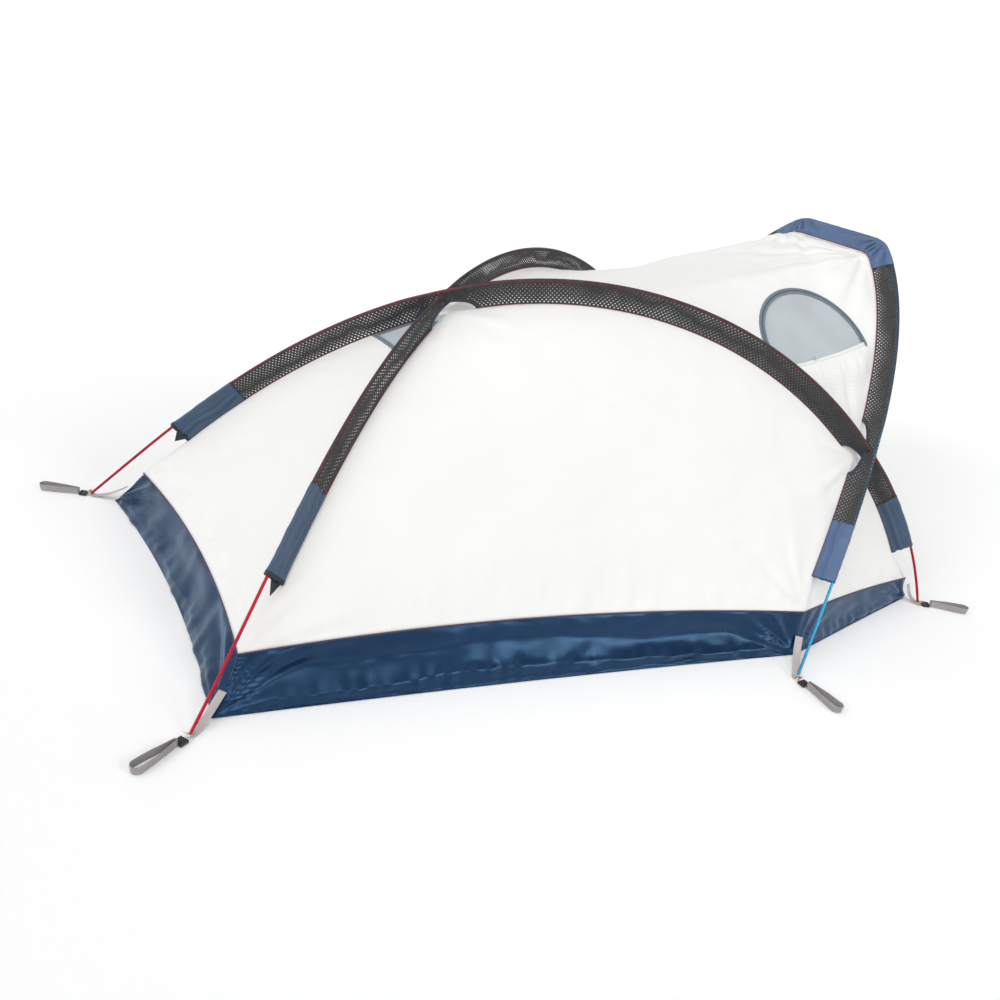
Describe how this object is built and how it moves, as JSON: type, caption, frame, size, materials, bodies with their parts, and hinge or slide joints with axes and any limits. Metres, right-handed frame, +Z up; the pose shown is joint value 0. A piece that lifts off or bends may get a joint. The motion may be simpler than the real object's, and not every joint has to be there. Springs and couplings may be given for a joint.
{
  "type": "semi-geodesic inner tent",
  "caption": "Small free-standing inner tent: crossing arch poles and a bent hoop carry a taut canopy over a tub floor, with mesh sleeves, zipped windows, a door and stake loops.",
  "frame": {"origin": "centre of the tent's outline, on the ground", "axes": "+X from the foot end to the door end, +Y across the tent, +Z up"},
  "size_m": [2.68, 2.22, 1.0972],
  "materials": {
    "pole_red": "satin anodised",
    "pole_blue": "satin anodised",
    "canopy_cloth": "matte ripstop",
    "vent_mesh": "fine mesh",
    "sleeve_mesh": "open mesh",
    "blue_nylon": "satin coated",
    "navy_floor": "gloss coated",
    "zip_tape": "matte",
    "webbing": "matte woven",
    "brass": "polished",
    "black_plastic": "satin moulded"
  },
  "bodies": {
    "tent_body": {"pole_red_over": "pole_red", "pole_red_under": "pole_red", "pole_blue_hoop": "pole_blue", "foot_panel": "canopy_cloth", "foot_vent": "vent_mesh", "side_panel_near": "canopy_cloth", "side_panel_far": "canopy_cloth", "corner_panel_near": "canopy_cloth", "corner_panel_far": "canopy_cloth", "door_wing_near": "canopy_cloth", "door_wing_far": "canopy_cloth", "roof_panel": "canopy_cloth", "window_mesh_near": "vent_mesh", "window_mesh_far": "vent_mesh", "window_zip_near": "zip_tape", "window_zip_far": "zip_tape", "door_end_panel": "canopy_cloth", "door_zip": "zip_tape", "floor_tub": "navy_floor", "sleeve_over_foot": "sleeve_mesh", "sleeve_over_roof": "sleeve_mesh", "sleeve_over_head": "sleeve_mesh", "sleeve_under_foot": "sleeve_mesh", "sleeve_under_roof": "sleeve_mesh", "sleeve_under_head": "sleeve_mesh", "sleeve_hoop_low_near": "sleeve_mesh", "sleeve_hoop_low_far": "sleeve_mesh", "sleeve_hoop_high_near": "sleeve_mesh", "sleeve_hoop_high_far": "sleeve_mesh", "hoop_cover": "blue_nylon", "grommet_foot_near": "brass", "corner_strap_foot_near": "webbing", "grommet_foot_far": "brass", "corner_strap_foot_far": "webbing", "grommet_hoop_near": "brass", "corner_strap_hoop_near": "webbing", "grommet_hoop_far": "brass", "corner_strap_hoop_far": "webbing", "grommet_head_near": "brass", "corner_strap_head_near": "webbing", "grommet_head_far": "brass", "corner_strap_head_far": "webbing"},
    "stake_tab_foot_near": {"buckle_foot_near": "black_plastic", "stake_loop_foot_near": "webbing"},
    "stake_tab_foot_far": {"buckle_foot_far": "black_plastic", "stake_loop_foot_far": "webbing"},
    "stake_tab_hoop_near": {"buckle_hoop_near": "black_plastic", "stake_loop_hoop_near": "webbing"},
    "stake_tab_hoop_far": {"buckle_hoop_far": "black_plastic", "stake_loop_hoop_far": "webbing"},
    "stake_tab_head_near": {"buckle_head_near": "black_plastic", "stake_loop_head_near": "webbing"},
    "stake_tab_head_far": {"buckle_head_far": "black_plastic", "stake_loop_head_far": "webbing"},
    "door": {"door_flap": "canopy_cloth"},
    "door_slider_pull": {"door_slider": "black_plastic"},
    "window_slider_pull_near": {"window_slider_near": "black_plastic"},
    "window_slider_pull_far": {"window_slider_far": "black_plastic"}
  },
  "joints": [
    {"name": "stake_tab_foot_near_lift", "type": "hinge", "parent": "tent_body", "child": "stake_tab_foot_near", "pos_m": [-1.19502, -0.65, 0.009], "axis": [-0.4992, 0.8665, 0], "range_deg": [0, 80]},
    {"name": "stake_tab_foot_far_lift", "type": "hinge", "parent": "tent_body", "child": "stake_tab_foot_far", "pos_m": [-1.19502, 0.65, 0.009], "axis": [0.4992, 0.8665, 0], "range_deg": [0, 80]},
    {"name": "stake_tab_hoop_near_lift", "type": "hinge", "parent": "tent_body", "child": "stake_tab_hoop_near", "pos_m": [0.43498, -0.945, 0.009], "axis": [-1, 0, 0], "range_deg": [0, 80]},
    {"name": "stake_tab_hoop_far_lift", "type": "hinge", "parent": "tent_body", "child": "stake_tab_hoop_far", "pos_m": [0.43498, 0.945, 0.009], "axis": [1, 0, 0], "range_deg": [0, 80]},
    {"name": "stake_tab_head_near_lift", "type": "hinge", "parent": "tent_body", "child": "stake_tab_head_near", "pos_m": [1.20498, -0.74, 0.009], "axis": [-0.6, -0.8, 0], "range_deg": [0, 75]},
    {"name": "stake_tab_head_far_lift", "type": "hinge", "parent": "tent_body", "child": "stake_tab_head_far", "pos_m": [1.20498, 0.74, 0.009], "axis": [0.6, -0.8, 0], "range_deg": [0, 75]},
    {"name": "door_sill_fold", "type": "hinge", "parent": "tent_body", "child": "door", "pos_m": [1.16662, 0, 0.096], "axis": [0, 1, 0], "range_deg": [0, 97]},
    {"name": "door_zip_run", "type": "hinge", "parent": "door", "child": "door_slider_pull", "pos_m": [1.15874, 0, 0.44591], "axis": [-0.9997, 0, -0.0225], "range_deg": [0, 180]},
    {"name": "window_zip_run_near", "type": "hinge", "parent": "tent_body", "child": "window_slider_pull_near", "pos_m": [0.78124, -0.38375, 0.81031], "axis": [-0.0535, -0.6206, 0.7823], "range_deg": [0, 165]},
    {"name": "window_zip_run_far", "type": "hinge", "parent": "tent_body", "child": "window_slider_pull_far", "pos_m": [0.78124, 0.38375, 0.81031], "axis": [0.0535, -0.6206, -0.7823], "range_deg": [0, 165]}
  ]
}
